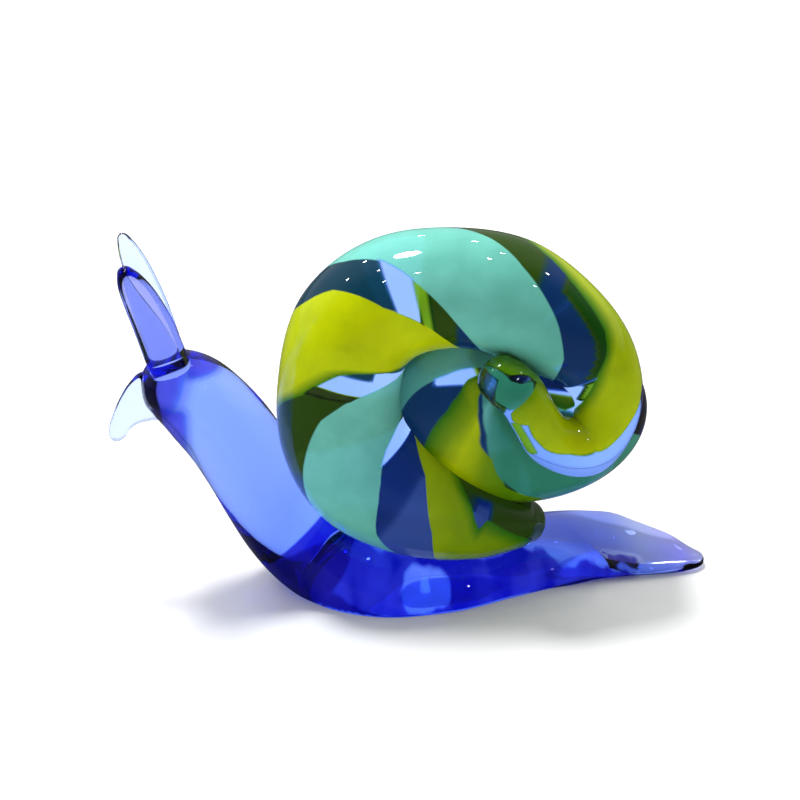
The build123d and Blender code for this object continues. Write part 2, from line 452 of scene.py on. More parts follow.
@dataclass(frozen=True)
class StripedGlass(Glass):
    """Clear glass with two stripes of dense coloured glass fused into its surface.

    Attributes:
        turquoise: The first stripe's colour where no shade is painted on it, as an sRGB code.
        turquoise_shaded: Its colour in the painted shade.
        chartreuse: The second stripe's colour where no shade is painted on it.
        chartreuse_shaded: Its colour in the painted shade, and along its painted shaded edge.
        veils: The colours painted on the clear glass: painted shade for the far side's stripes seen
            through it in shade, and light green for painted highlights, as pairs of place and sRGB
            code.
        cover_share: How much of the light the stripes stop.
        edge: How far a stripe's edge fades, in millimetres.
        shaded_edge: How far in the painted shade along its beginning edge reaches, in millimetres.
        thinnest_share: How bright the second stripe is at that edge, in its painted shade.
        cloud: The size of the clouds in the stripes, in millimetres.
    """

    turquoise: str = "7CD8C8"
    turquoise_shaded: str = "14765A"
    chartreuse: str = "CDDC00"
    chartreuse_shaded: str = "1E7404"
    veils: tuple[tuple[float, str], ...] = (
        (0.0, "3450A0"),
        (0.08, "0B2C78"),
        (0.2, "0B3C50"),
        (0.4, "2C4A04"),
        (0.6, "0F4508"),
        (0.8, "7DB81E"),
    )
    cover_share: float = 0.92
    edge: float = 0.12
    shaded_edge: float = 1.9
    thinnest_share: float = 0.1
    cloud: float = 3.03

    # Clear glass that dense ribbons of coloured glass were melted flush into: the ribbons hide
    # what is behind them and mirror as the clear glass does, and each has faint clouds where it
    # was stirred while soft. Painted shade darkens them at the shell's sunken tip, at its lower
    # end, round the hub's lower side and along the second ribbon's beginning.
    CLOUD_RANGE = (0.3, 0.7)
    CLOUD_TONES = (0.88, 1.06)

    def build(self) -> bpy.types.Material:
        """Makes the material from the maps of the shell.

        Returns:
            The material.
        """
        material = super().build()
        tree = material.node_tree
        shader = tree.nodes["Principled BSDF"]
        maps = {}
        for name in ("stripes", "tones", "veils"):
            layer = node(tree, "ShaderNodeUVMap", {"uv_map": name})
            split = node(tree, "ShaderNodeSeparateXYZ", links={"Vector": layer.outputs["UV"]})
            maps[name] = split.outputs
        # The colour sets in before the cover does, so no pale line borders a stripe
        tinge = {"From Min": -3 * self.edge, "From Max": -self.edge}
        cover = {"From Min": -self.edge, "From Max": self.edge}
        first = node(tree, "ShaderNodeMapRange", tinge, {"Value": maps["stripes"]["X"]})
        second = node(tree, "ShaderNodeMapRange", cover, {"Value": maps["stripes"]["Y"]})
        second_tinge = node(tree, "ShaderNodeMapRange", tinge, {"Value": maps["stripes"]["Y"]})
        # Painted shade along the beginning edge of the second stripe
        edge_shade = node(
            tree,
            "ShaderNodeMapRange",
            {"From Max": self.shaded_edge, "To Min": self.thinnest_share},
            {"Value": maps["tones"]["Y"]},
        )
        place = node(tree, "ShaderNodeTexCoord")
        clouds = node(
            tree,
            "ShaderNodeTexNoise",
            {"Scale": 1 / (self.cloud * MM), "Detail": 3.0},
            {"Vector": place.outputs["Object"]},
        )
        (thin, thick), (dull, bright) = self.CLOUD_RANGE, self.CLOUD_TONES
        streaks = node(
            tree,
            "ShaderNodeMapRange",
            {"From Min": thin, "From Max": thick, "To Min": dull, "To Max": bright},
            {"Value": clouds.outputs["Fac"]},
        )
        # Painted shade: the stripes darken by place, as the painted shading map gives
        first_tone = node(
            tree,
            "ShaderNodeMath",
            {"operation": "MULTIPLY"},
            {0: maps["tones"]["X"], 1: streaks.outputs["Result"]},
        )
        second_tone = node(
            tree,
            "ShaderNodeMath",
            {"operation": "MULTIPLY"},
            {0: first_tone.outputs["Value"], 1: edge_shade.outputs["Result"]},
        )
        # Painted shade on the clear glass, and a few light painted highlights
        patch_shade = node(tree, "ShaderNodeMapRange", tinge, {"Value": maps["veils"]["X"]})
        shades = node(tree, "ShaderNodeValToRGB", links={"Fac": maps["veils"]["Y"]})
        spread(shades.color_ramp, self.veils)
        clear = node(
            tree,
            "ShaderNodeMix",
            {"data_type": "RGBA", 6: colour("FFFFFF")},
            {0: patch_shade.outputs["Result"], 7: shades.outputs["Color"]},
        )
        blue = node(
            tree,
            "ShaderNodeMix",
            {"data_type": "RGBA", 6: colour(self.turquoise_shaded), 7: colour(self.turquoise)},
            {0: first_tone.outputs["Value"]},
        )
        yellow = node(
            tree,
            "ShaderNodeMix",
            {"data_type": "RGBA", 6: colour(self.chartreuse_shaded), 7: colour(self.chartreuse)},
            {0: second_tone.outputs["Value"]},
        )
        one_stripe = node(
            tree,
            "ShaderNodeMix",
            {"data_type": "RGBA"},
            {0: first.outputs["Result"], 6: clear.outputs[2], 7: blue.outputs[2]},
        )
        bare = node(
            tree, "ShaderNodeMath", {"operation": "LESS_THAN", 1: 0.0}, {0: maps["stripes"]["X"]}
        )
        bordered = node(
            tree,
            "ShaderNodeMix",
            {"data_type": "FLOAT"},
            {
                0: bare.outputs["Value"],
                2: second.outputs["Result"],
                3: second_tinge.outputs["Result"],
            },
        )
        both_stripes = node(
            tree,
            "ShaderNodeMix",
            {"data_type": "RGBA"},
            {0: bordered.outputs[0], 6: one_stripe.outputs[2], 7: yellow.outputs[2]},
        )
        tree.links.new(both_stripes.outputs[2], shader.inputs["Base Color"])
        striped = node(
            tree,
            "ShaderNodeMath",
            {"operation": "MAXIMUM"},
            {0: maps["stripes"]["X"], 1: maps["stripes"]["Y"]},
        )
        covered = node(
            tree,
            "ShaderNodeMath",
            {"operation": "MAXIMUM"},
            {0: striped.outputs["Value"], 1: maps["veils"]["X"]},
        )
        passed = node(
            tree,
            "ShaderNodeMapRange",
            {**cover, "To Min": 1.0, "To Max": 1.0 - self.cover_share},
            {"Value": covered.outputs["Value"]},
        )
        tree.links.new(passed.outputs["Result"], shader.inputs["Transmission Weight"])
        return material


def coat(piece: bpy.types.Object, glass: Glass, nodes: Sequence[str]) -> None:
    """Gives a finished piece its glass, and the place of the solids that it stands for.

    Args:
        piece: The finished piece.
        glass: Its glass.
        nodes: The names of the solids.
    """
    piece.data.materials.clear()
    piece.data.materials.append(glass.build())
    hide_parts(*nodes)
    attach(piece, "root")


class Side(Enum):
    """The two sides of the snail, by the sign of Y."""

    LEFT = -1
    RIGHT = 1


@dataclass(frozen=True)
class Feeler:
    """One flattened rod that rises from the head.

    Attributes:
        side: The side that it leans to.
        half_width: Half of its width, in millimetres.
        half_thickness: Half of its thickness, in millimetres.
        depth: How deep its tint is, from nought to one.
        root: Where it leaves the head, in millimetres, on the right.
        reach: From there to its tip.
        rows: From the root: the share of its reach, then shares of its half width, half width
            and half thickness for its bow, its width and its thickness.
        segments: How many edges each ring has.
        steps: The rings to each row.
    """

    side: Side
    half_width: float
    half_thickness: float
    depth: float
    root: tuple[float, float, float] = (-28.3, 1.7, 30.2)
    reach: tuple[float, float, float] = (-5.2, 3.3, 15.5)
    rows: tuple[Row, ...] = (
        (-0.06, 0.00, 1.04, 1.10),
        (0.20, 0.10, 1.03, 1.05),
        (0.45, 0.18, 0.99, 1.00),
        (0.70, 0.14, 0.86, 0.94),
        (0.86, 0.06, 0.66, 0.82),
        (0.96, 0.01, 0.38, 0.52),
        (0.985, 0.0, 0.24, 0.34),
        (1.00, 0.00, 0.04, 0.06),
    )
    segments: int = 40
    steps: int = 6

    def build(self) -> bpy.types.Object:
        """Skins the feeler.

        Returns:
            The closed solid.
        """
        mirror = Vector((1, self.side.value, 1))
        root, reach = Vector(self.root) * mirror, Vector(self.reach) * mirror
        along = reach.normalized()
        across = Vector((0, 1, 0)).cross(reach).normalized()
        up = along.cross(across)
        rings = []
        for step in range(self.steps * (len(self.rows) - 1) + 1):
            place, bow, width, thickness = catmull(self.rows, step / self.steps)
            middle = root + reach * place + across * (bow * self.half_width)
            wide, thick = width * self.half_width, thickness * self.half_thickness
            rings.append(ring(across * wide, up * thick, along, middle))
        return skin("feeler", rings, self.segments)


@dataclass(frozen=True)
class MouthFlap:
    """The glass pinched flat under the feelers.

    Attributes:
        thickness: Its thickness, in millimetres.
        softness: The round of its edges, in millimetres.
        depth: How deep its tint is, from nought to one.
        outline: Its outline from the side: x and z, in millimetres.
    """

    thickness: float = 1.5
    softness: float = 0.55
    depth: float = 0.13
    outline: Table = (
        (-31.8, 29.6),
        (-33.3, 28.3),
        (-34.6, 26.2),
        (-35.5, 24.1),
        (-36.06, 22.1),
        (-35.96, 21.2),
        (-35.2, 20.7),
        (-34.2, 21.2),
        (-33.5, 22.3),
        (-32.4, 23.0),
        (-31.0, 23.3),
        (-29.1, 23.7),
        (-29.1, 29.1),
    )

    def build(self) -> bpy.types.Object:
        """Draws the outline, and thickens and rounds it.

        Returns:
            The closed solid.
        """
        curve = bpy.data.curves.new("mouth", "CURVE")
        curve.dimensions = "2D"
        curve.fill_mode = "BOTH"
        curve.extrude = (self.thickness / 2 - self.softness) * MM
        curve.bevel_depth = self.softness * MM
        curve.bevel_resolution = 4
        curve.offset = -self.softness * MM
        curve.resolution_u = 8
        line = curve.splines.new("BEZIER")
        line.bezier_points.add(len(self.outline) - 1)
        for point, (x, z) in zip(line.bezier_points, self.outline):
            point.co = Vector((x, z, 0.0)) * MM
            point.handle_left_type = point.handle_right_type = "AUTO"
        line.use_cyclic_u = True
        drawn = bpy.data.objects.new("mouth", curve)
        bpy.context.scene.collection.objects.link(drawn)
        bpy.context.view_layer.update()
        shown = drawn.evaluated_get(bpy.context.evaluated_depsgraph_get())
        data = bpy.data.meshes.new_from_object(shown)
        bpy.data.objects.remove(drawn)
        mesh = bmesh.new()
        mesh.from_mesh(data)
        bmesh.ops.remove_doubles(mesh, verts=mesh.verts, dist=MM / 100)
        upright = Matrix.Translation(FRAME_SHIFT) @ Matrix.Rotation(math.pi / 2, 4, "X")
        bmesh.ops.transform(mesh, matrix=upright, verts=mesh.verts)
        bmesh.ops.recalc_face_normals(mesh, faces=mesh.faces)
        return settle("mouth", mesh)


@dataclass(frozen=True)
class Body:
    """Foot, neck, head and tail, drawn out of one gather, with the small parts fused on.

    Attributes:
        glass: What it is made of.
        feelers: The two feelers.
        mouth: The flap under them.
        segments: How many edges each ring has.
        steps: The rings to each row.
        rim: The round of the sole's edge, in millimetres.
        rows: Along the body from the tail's end: x, y and z of the middle, half width and half
            thickness in millimetres, then the heading above +X and the roll, in degrees.
        shade_top: The upper edge of the painted shade in the foot, for its contact shadow over the
            floor, as z against x in millimetres.
        far_drop: How much lower that edge lies on the far side, in millimetres.
        patch_middle: The x and z of a pale patch of painted light on the foot's near side, where
            its painted shade is left out, in millimetres.
        patch_half: Half its width and half its height, in millimetres.
        tail_depth: How deep the tint is on the tail's top, against x in millimetres.
        flank_share: How much of that depth the tail's flanks have.
        head_depth: How deep the painted shade under the chin is, and the darker band over the
            crown.
        sole_top: Under this height a point belongs to the sole, in millimetres.
        sole_start: The x at which the painted shade in the sole begins, in millimetres.
        sole_rise: How much deeper it gets with each millimetre towards the tail.
    """

    glass: ShadeTintedGlass
    feelers: tuple[Feeler, ...]
    mouth: MouthFlap
    segments: int = 96
    steps: int = 6
    rim: float = 0.35
    rows: tuple[Row, ...] = (
        (37.3, -1.70, 0.85, 0.10, 0.06, 180, 8),
        (36.93, -1.68, 0.87, 1.05, 0.56, 180, 8),
        (35.81, -1.47, 0.93, 2.10, 0.68, 180, 8),
        (33.57, -0.53, 1.18, 3.57, 0.87, 180, 11),
        (29.84, 0.42, 1.61, 4.94, 0.93, 180, 12),
        (26.86, 1.16, 1.92, 5.88, 1.24, 180, 12),
        (23.13, 1.37, 1.92, 6.41, 1.98, 180, 10),
        (20.14, 1.47, 1.61, 6.93, 2.79, 180, 7),
        (17.16, 1.47, 1.12, 7.25, 3.78, 180, 4),
        (11.94, 0.95, 0.68, 8.40, 4.90, 180, 0),
        (5.97, 0.21, 0.62, 9.87, 5.08, 180, 0),
        (0.00, 0.00, 0.62, 10.48, 5.70, 180, 0),
        (-4.10, 0.00, 0.93, 10.29, 7.44, 180, 0),
        (-8.00, 0.00, 2.52, 9.30, 7.22, 170, 0),
        (-10.88, 0.00, 4.76, 8.12, 6.83, 160, 0),
        (-13.12, 0.00, 6.72, 7.11, 6.50, 148, 0),
        (-15.36, 0.00, 9.52, 6.38, 6.10, 137, 0),
        (-17.28, 0.00, 12.88, 5.94, 5.82, 129, 0),
        (-19.52, 0.00, 17.36, 5.71, 5.66, 124, 0),
        (-21.76, 0.00, 21.28, 5.60, 5.54, 124, 0),
        (-24.32, 0.00, 24.64, 5.49, 5.38, 131, 0),
        (-26.24, 0.00, 26.60, 5.21, 5.10, 142, 0),
        (-28.16, 0.00, 27.72, 4.70, 4.59, 155, 0),
        (-29.76, 0.00, 28.00, 3.98, 3.92, 168, 0),
        (-31.20, 0.00, 27.90, 2.69, 2.63, 175, 0),
        (-31.80, 0.00, 27.95, 1.50, 1.47, 178, 0),
        (-32.05, 0.00, 28.00, 0.10, 0.10, 180, 0),
    )
    # Painted shade: the foot is tinted dark below this edge
    shade_top: Table = (
        (-18, 4.8), (-15.8, 6.2), (-13.8, 7.6), (-11.3, 8.6), (-10, 9.0), (-7.5, 8.9), (-6.3, 8.4),
        (-1.4, 6.2), (4.7, 4.9), (10.9, 4.2), (15.8, 4.2), (19.4, 3.5), (22.7, 2.4), (26.1, 1.5),
        (28.5, 0.4), (31, -1.0), (37, -1.0),
    )
    far_drop: float = 4.5
    patch_middle: tuple[float, float] = (1.8, 2.9)
    patch_half: tuple[float, float] = (3.1, 2.3)
    tail_depth: Table = ((-40, 0), (8, 0), (14, 0.54), (26, 0.54), (33, 0.42), (38, 0.3))
    flank_share: float = 0.25
    head_depth: float = 0.75
    sole_top: float = 0.05
    sole_start: float = -16.0
    sole_rise: float = 0.0145

    # Where each tint sets in and where it is whole, in millimetres
    FAR_Y = (-1.0, 3.0)
    FLANK_Z = (0.2, 0.8)
    CHIN_X = (-25.5, -27.5)
    CHIN_Z = (28.2, 26.0)
    CROWN_FRONT_X = (-27.5, -26.0)
    CROWN_BACK_X = (-19.5, -22.0)
    CROWN_Z = (29.6, 30.6)
    # The distance inside a tint that stands for none of it near, in millimetres
    NOWHERE = -9.0

    def build(self, seat: bpy.types.Object) -> bpy.types.Object:
        """Skins the gather, flattens its sole, fuses the small parts on and seats the shell.

        Args:
            seat: The solid that is cut out for the shell. It is used up.

        Returns:
            The finished piece.
        """
        rings = []
        for step in range(self.steps * (len(self.rows) - 1) + 1):
            x, y, z, width, thickness, heading, roll = catmull(self.rows, step / self.steps)
            turn, tilt = math.radians(heading), math.radians(roll)
            along = Vector((math.cos(turn), 0.0, math.sin(turn)))
            across = Vector((0.0, math.cos(tilt), math.sin(tilt)))
            up = along.cross(across)
            rings.append(ring(across * width, up * thickness, along, Vector((x, y, z))))
        gather = skin("body", rings, self.segments)
        self.flatten(gather)
        # The map of the tint, with the painted shade of the foot, the sole and the chin
        write_map(gather, "cobalt", [self.depth(vertex.co) for vertex in gather.data.vertices])
        for drawn in (*self.feelers, self.mouth):
            part = drawn.build()
            write_map(part, "cobalt", [(drawn.depth, self.NOWHERE)] * len(part.data.vertices))
            carve(gather, part, "UNION")
        carve(gather, seat, "DIFFERENCE")
        gather.data.shade_smooth()
        gather.data.set_sharp_from_angle(angle=CREASE)
        gather.name = "body_glass"
        return gather

    def dress(self, piece: bpy.types.Object) -> None:
        """Gives the finished piece its glass, in the place of the body and the small parts."""
        nodes = ("body", "left_feeler", "right_feeler", "mouth_flap")
        coat(piece, self.glass, nodes)

    def depth(self, place: Vector) -> tuple[float, float]:
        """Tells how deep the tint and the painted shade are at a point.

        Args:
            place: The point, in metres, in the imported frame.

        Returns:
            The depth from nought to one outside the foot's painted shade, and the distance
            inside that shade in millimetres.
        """
        x, y, z = (place - FRAME_SHIFT) / MM
        # Painted shade in the sole, deeper towards the tail
        if z < self.sole_top:
            return (self.sole_rise * (x - self.sole_start), self.NOWHERE)
        # Painted shade: the foot below this edge is tinted dark, for its contact shadow over the
        # floor
        top = linear(self.shade_top, x) - self.far_drop * ease(*self.FAR_Y, y)
        inside = top - z
        # Painted light: a pale patch on the near side where the foot's painted shade is left out
        if y < 0:
            (middle_x, middle_z), (half_x, half_z) = self.patch_middle, self.patch_half
            away = math.hypot((x - middle_x) / half_x, (z - middle_z) / half_z)
            inside = min(inside, (away - 1) * half_z)
        # The tail's tint is deeper over its top than on its flanks
        crest = ease(*self.FLANK_Z, z - top)
        tail = linear(self.tail_depth, x) * (self.flank_share + (1 - self.flank_share) * crest)
        # Painted shade under the chin, and a darker band over the crown
        chin = ease(*self.CHIN_X, x) * ease(*self.CHIN_Z, z)
        crown = ease(*self.CROWN_FRONT_X, x) * ease(*self.CROWN_BACK_X, x) * ease(*self.CROWN_Z, z)
        return (max(tail, self.head_depth * chin, self.head_depth * crown), inside)

    def flatten(self, gather: bpy.types.Object) -> None:
        """Cuts the sole flat and rounds its rim.

        Args:
            gather: The skinned body.
        """
        mesh = bmesh.new()
        mesh.from_mesh(gather.data)
        bmesh.ops.bisect_plane(
            mesh,
            geom=[*mesh.verts, *mesh.edges, *mesh.faces],
            plane_co=(0, 0, 0),
            plane_no=(0, 0, 1),
            clear_inner=True,
            dist=MM / 1000,
        )
        rim = [edge for edge in mesh.edges if edge.is_boundary]
        sole = bmesh.ops.holes_fill(mesh, edges=rim, sides=0)["faces"]
        rim = list({edge for face in sole for edge in face.edges})
        bmesh.ops.bevel(
            mesh,
            geom=rim,
            offset=self.rim * MM,
            segments=3,
            profile=0.5,
            affect="EDGES",
            clamp_overlap=True,
            material=-1,
        )
        bmesh.ops.recalc_face_normals(mesh, faces=mesh.faces)
        mesh.to_mesh(gather.data)
        mesh.free()


@dataclass(frozen=True)
class Veil:
    """A patch of painted shade on clear glass, for the far side's stripes seen through it in shade;
    a few are light green painted highlights.

    Attributes:
        first: Where it begins, as a row of the cane or in degrees from the hub's pole.
        last: Where it ends, in the same way.
        start: Where it begins round the cane or round the pole, in degrees.
        stop: Where it ends, in the same way.
        hue: The place of its colour in the glass's ramp.
    """

    first: float
    last: float
    start: float
    stop: float
    hue: float

    # How far inside a later patch its own colour is whole, in millimetres
    BLEND = 0.7
    FAR_OUTSIDE = -99.0

    def inside(self, along: float, angle: float, pace: float, radius: float) -> float:
        """Measures how far inside the patch a point lies.

        Args:
            along: The point's place along the cane or from the pole.
            angle: Its angle, in degrees.
            pace: The millimetres to one unit along.
            radius: The radius there, in millimetres.

        Returns:
            The distance to the patch's edge in millimetres, negative outside it.
        """
        away = (angle - (self.start + self.stop) / 2 + 180) % 360 - 180
        across = math.radians((self.stop - self.start) / 2 - abs(away)) * radius
        return min((along - self.first) * pace, (self.last - along) * pace, across)

    @staticmethod
    def read(
        veils: Sequence["Veil"], along: float, angle: float, pace: float, radius: float
    ) -> tuple[float, float]:
        """Adds the patches up at a point, where later ones colour over earlier ones.

        Args:
            veils: The patches.
            along: The point's place along the cane or from the pole.
            angle: Its angle, in degrees.
            pace: The millimetres to one unit along.
            radius: The radius there, in millimetres.

        Returns:
            The distance inside the patches in millimetres, and the place of their colour.
        """
        best, hue = Veil.FAR_OUTSIDE, veils[0].hue
        for veil in veils:
            inside = veil.inside(along, angle, pace, radius)
            if inside > best and best < 0:
                hue = veil.hue
            elif inside > 0:
                hue += (veil.hue - hue) * ease(0.0, Veil.BLEND, inside)
            best = max(best, inside)
        return (best, hue)


@dataclass(frozen=True)
class Cane:
    """The striped cane that is wound over the near side of the hub.

    Attributes:
        segments: How many edges each ring has.
        rings: How many rings lie between its two ends.
        heading_rows: How far to each side its heading is taken, in rows.
        end_share: How far its two ends stand out, as a share of the radius.
        seat_row: The row from which it lies in the body.
        pace: The millimetres from row to row, near enough for the width of a patch.
        rows: From the thin tip: x, y and z of the middle and the radius, in millimetres.
        turquoise_start: Where the turquoise stripe begins round the cane, in degrees against
            the row.
        turquoise_stop: Where it ends.
        chartreuse_start: Where the chartreuse stripe begins.
        chartreuse_stop: Where it ends.
        tones: How bright the stripes are along the cane: painted shade, darkest at the sunken tip
            and at the lower end.
        veils: The patches of painted shade for the far side's stripes seen through the glass, and
            two light green painted highlights.
        beside: Painted shade along the chartreuse stripe's beginning, and a thin light green
            painted highlight, measured from it.
    """

    segments: int = 96
    rings: int = 171
    heading_rows: float = 0.9
    end_share: float = 0.7
    seat_row: float = 11.5
    pace: float = 6.5
    rows: tuple[Row, ...] = (
        (9.54, -9.76, 31.90, 2.81),
        (10.94, -10.16, 30.85, 3.11),
        (12.48, -10.56, 29.35, 2.96),
        (14.02, -10.56, 26.50, 2.89),
        (16.12, -9.84, 23.20, 3.26),
        (20.32, -8.64, 21.55, 3.85),
        (23.12, -6.80, 25.45, 4.22),
        (22.14, -5.28, 30.55, 5.03),
        (18.08, -4.72, 35.05, 6.29),
        (12.06, -3.52, 38.95, 7.10),
        (5.34, -2.56, 40.12, 7.14),
        (-1.52, -1.84, 38.95, 7.40),
        (-6.56, -1.76, 34.75, 7.47),
        (-8.38, -2.08, 27.70, 7.40),
        (-7.82, -2.64, 21.55, 7.84),
        (-4.60, -3.36, 16.45, 8.14),
        (1.70, -4.24, 12.40, 7.03),
        (8.28, -4.48, 9.85, 5.11),
        (12.90, -3.20, 8.50, 3.55),
        (14.58, -2.16, 7.75, 2.74),
    )
    turquoise_start: Table = (
        (0, -390), (0.69, -384), (1.19, -392), (1.5, -418), (1.8, -396), (1.98, -360), (2.2, -240),
        (5.6, -240), (6, -236), (7, -200), (8, -130), (9.43, -44), (9.95, -10), (10.48, 30),
        (10.9, 64), (11.33, 88), (13.86, 304), (14.29, 326), (14.9, 348), (15.14, 362),
        (15.43, 390), (16.1, 430), (19, 520),
    )
    turquoise_stop: Table = (
        (0, -370), (0.26, -345), (0.75, -323), (1.82, -326), (1.98, -358), (2.2, -239),
        (5.6, -238), (6, -190), (7, -110), (7.43, -68), (7.86, -16), (8.38, 16), (9.1, 50),
        (9.57, 80), (9.86, 96), (11.2, 168), (12.38, 308), (12.81, 354), (13.24, 380),
        (13.86, 398), (14.67, 426), (16.1, 486), (17, 494), (19, 540),
    )
    chartreuse_start: Table = (
        (0, -150), (1.4, -140), (2.4, -122), (4, -135), (5.14, -112), (6.52, -32), (7.1, 2),
        (7.38, 30), (7.67, 46), (8.05, 56), (8.43, 66), (8.9, 85), (9.5, 125), (12.1, 312),
        (12.38, 368), (12.9, 404), (13.14, 430), (14.43, 530), (16.1, 650), (16.6, 688),
        (16.75, 712), (16.9, 694), (19, 760),
    )
    chartreuse_stop: Table = (
        (0, -33), (0.48, -36), (1.23, -61), (1.7, -62), (1.85, 10), (1.92, 36), (2.36, 50),
        (2.52, 44), (2.62, 14), (3.08, 20), (3.57, 11), (4.21, -11), (4.89, -14), (5.36, 7),
        (5.9, 35), (6.5, 72), (8, 170), (10.1, 320), (10.57, 352), (11.1, 378), (11.57, 422),
        (11.95, 440), (14.43, 638), (15, 650), (15.57, 674), (15.95, 708), (16.14, 724),
        (16.5, 780), (19, 850),
    )
    # Painted shade: the stripes darken at the shell's sunken tip and at its lower end
    tones: Table = (
        (0, 0.12), (1.5, 0.12), (2.2, 0.45), (3.2, 0.68), (4, 0.8), (6, 0.85), (7.2, 0.66),
        (9, 0.8), (11, 1.0), (13.5, 0.95), (15, 0.75), (16.5, 0.35), (19, 0.2),
    )
    # Painted shade on the clear glass for the far side's stripes, and light green painted
    # highlights
    veils: tuple[Veil, ...] = (
        Veil(10.96, 12.4, -20, 140, 0.2),
        Veil(9.3, 10.52, -60, 40, 0.4),
        Veil(10.36, 10.56, -30, 40, 0.85),
        Veil(12.86, 15.6, -20, 140, 0.42),
        Veil(14.1, 15.6, 30, 140, 0.2),
        Veil(14.64, 19.9, -110, 150, 0.08),
        Veil(15.42, 19.9, -45, 150, 0.0),
        Veil(7.02, 10.0, -85, 135, 0.13),
        Veil(8.76, 10.0, 30, 135, 0.4),
        Veil(2.5, 3.6, 36, 64, 0.8),
        Veil(15.8, 16.62, -150, -30, 0.4),
        Veil(15.8, 19.9, -150, -48, 0.4),
        Veil(16.88, 19.9, -150, 30, 0.4),
    )
    # Painted shade along the chartreuse stripe's beginning, and a thin light green painted
    # highlight
    beside: tuple[Veil, ...] = (
        Veil(7.05, 8.5, -21, 6, 0.6),
        Veil(6.3, 6.98, -17, 6, 0.8),
    )

    # The extra rings round each end, in degrees
    END_ANGLES = (12, 24, 36, 48, 60, 72, 84)
    # Where the colour of a patch beside the stripe sets in and is whole, in millimetres inside it
    BESIDE_RANGE = (-0.2, 0.5)

    def middle(self, place: float) -> tuple[Vector, float]:
        """Gives the middle and the radius of the cane.

        Args:
            place: Where, as a row number with a fraction.

        Returns:
            The middle and the radius, in millimetres.
        """
        x, y, z, radius = catmull(self.rows, place)
        return Vector((x, y, z)), radius

    def stations(self) -> list[tuple[float, float]]:
        """Lists the rings.

        Returns:
            For each ring its row number and how far round the rounded end it stands, in degrees.
        """
        last = len(self.rows) - 1
        rings = [(0.0, -float(angle)) for angle in self.END_ANGLES[::-1]]
        rings += [(last * number / self.rings, 0.0) for number in range(self.rings + 1)]
        return rings + [(float(last), float(angle)) for angle in self.END_ANGLES]

    def matrix(self, place: float, rounding: float, spare: float) -> Matrix:
        """Places one ring.

        Args:
            place: Its row number.
            rounding: How far round the rounded end it stands, in degrees.
            spare: What is added to the radius, in millimetres.

        Returns:
            The ring's matrix, with the near side along its X and the outer side along its Y.
        """
        middle, radius = self.middle(place)
        behind, _ = self.middle(max(place - self.heading_rows, 0))
        ahead, _ = self.middle(min(place + self.heading_rows, len(self.rows) - 1))
        along = (ahead - behind).normalized()
        near = Vector((0, -1, 0))
        near = (near - along * near.dot(along)).normalized()
        outer = along.cross(near)
        size = (radius + spare) * math.cos(math.radians(rounding))
        middle = middle + along * (math.sin(math.radians(rounding)) * radius * self.end_share)
        return ring(near * size, outer * size, along, middle)

    def distances(self, place: float, angle: float, radius: float) -> tuple[float, float, float]:
        """Measures how far inside each stripe a point lies.

        Args:
            place: The point's row number.
            angle: Its angle round the cane, in degrees.
            radius: The radius of the ring, in millimetres.

        Returns:
            The distances to the edges of the two stripes in millimetres, negative outside them,
            and the distance to the second stripe's painted shaded edge.
        """
        starts = (self.turquoise_start, self.chartreuse_start)
        stops = (self.turquoise_stop, self.chartreuse_stop)
        found = []
        for start, stop in zip(starts, stops):
            low, high = linear(start, place), linear(stop, place)
            away = (angle - (low + high) / 2 + 180) % 360 - 180
            found.append(math.radians((high - low) / 2 - abs(away)) * radius)
        return (found[0], found[1], math.radians((high - low) / 2 + away) * radius)

    def build(self) -> bpy.types.Object:
        """Skins the cane and maps its stripes.

        Returns:
            The closed solid.
        """
        stations = self.stations()
        matrices = [self.matrix(place, rounding, 0.0) for place, rounding in stations]
        cane = skin("cane", matrices, self.segments)
        stripes, tones, veils = [], [], []
        for number, vertex in enumerate(cane.data.vertices):
            place, _ = stations[number // self.segments]
            local = matrices[number // self.segments].inverted() @ vertex.co
            radius = self.middle(place)[1]
            angle = math.degrees(math.atan2(local.y, local.x))
            first, second, edge = self.distances(place, angle, radius)
            stripes.append((first, second))
            tones.append((linear(self.tones, place), edge))
            inside, hue = Veil.read(self.veils, place, angle, self.pace, radius)
            beyond = angle - linear(self.chartreuse_start, place)
            beside, beside_hue = Veil.read(self.beside, place, beyond, self.pace, radius)
            share = ease(*self.BESIDE_RANGE, beside)
            veils.append((max(inside, beside), hue + (beside_hue - hue) * share))
        write_map(cane, "stripes", stripes)
        write_map(cane, "tones", tones)
        write_map(cane, "veils", veils)
        return cane

    def seat(self, spare: float) -> bpy.types.Object:
        """Skins what the cane needs in the body.

        Args:
            spare: The clearance, in millimetres.

        Returns:
            The closed solid of the cane's lower rows.
        """
        stations = [station for station in self.stations() if station[0] > self.seat_row]
        rings = [self.matrix(place, rounding, spare) for place, rounding in stations]
        return skin("seat", rings, self.segments)


